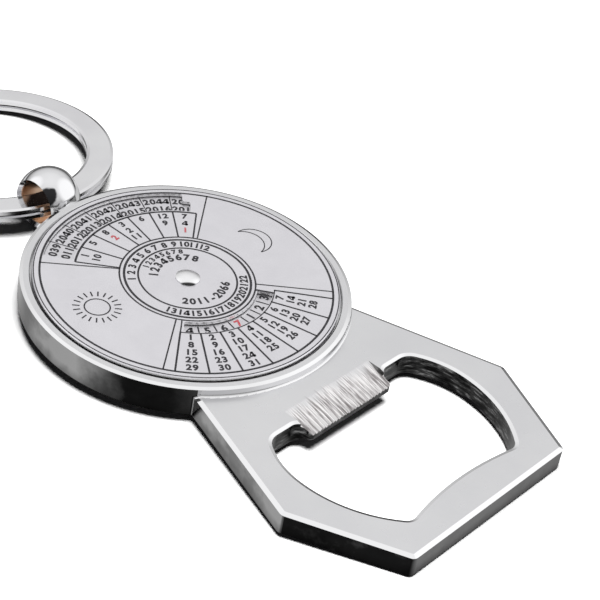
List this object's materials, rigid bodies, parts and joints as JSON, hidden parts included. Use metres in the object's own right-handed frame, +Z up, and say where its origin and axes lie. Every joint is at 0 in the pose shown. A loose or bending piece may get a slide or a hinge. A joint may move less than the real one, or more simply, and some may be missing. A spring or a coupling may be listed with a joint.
{
  "type": "metal keychain",
  "caption": "Flat metal keychain: a bottle opener plate with a round calendar dial that turns, hung on a ball swivel and a split ring.",
  "frame": {"origin": "on the calendar dial's axis, at the casting's flat underside", "axes": "+X along the keychain to the opener's end, with the ball swivel and the split ring at -X; +Z up out of the dial; +Y across"},
  "size_m": [0.0951, 0.0376, 0.0076],
  "materials": {
    "plated_zinc": "satin",
    "dial_sheet": "satin",
    "adhesive_film": "matte",
    "spring_steel": "satin",
    "rivet_metal": "polished",
    "ball_metal": "polished",
    "pin_metal": "satin",
    "ring_steel": "polished"
  },
  "bodies": {
    "casting": {"opener_body": "plated_zinc", "plate_adhesive": "adhesive_film", "calendar_plate": "dial_sheet", "friction_washer": "spring_steel", "centre_rivet": "rivet_metal", "swivel_pin": "pin_metal"},
    "disc": {"calendar_disc": "dial_sheet"},
    "ball": {"swivel_ball": "ball_metal"},
    "ring": {"split_ring": "ring_steel"}
  },
  "joints": [
    {"name": "disc_turn", "type": "hinge", "parent": "casting", "child": "disc", "pos_m": [0, 0, 0.0041], "axis": [0, 0, 1], "continuous": true},
    {"name": "ball_turn", "type": "hinge", "parent": "casting", "child": "ball", "pos_m": [-0.02293, 0, 0.0019], "axis": [1, 0, 0], "continuous": true},
    {"name": "ring_swing", "type": "hinge", "parent": "ball", "child": "ring", "pos_m": [-0.02293, 0, 0.0019], "axis": [0, 1, 0], "range_deg": [-120, 130]}
  ]
}
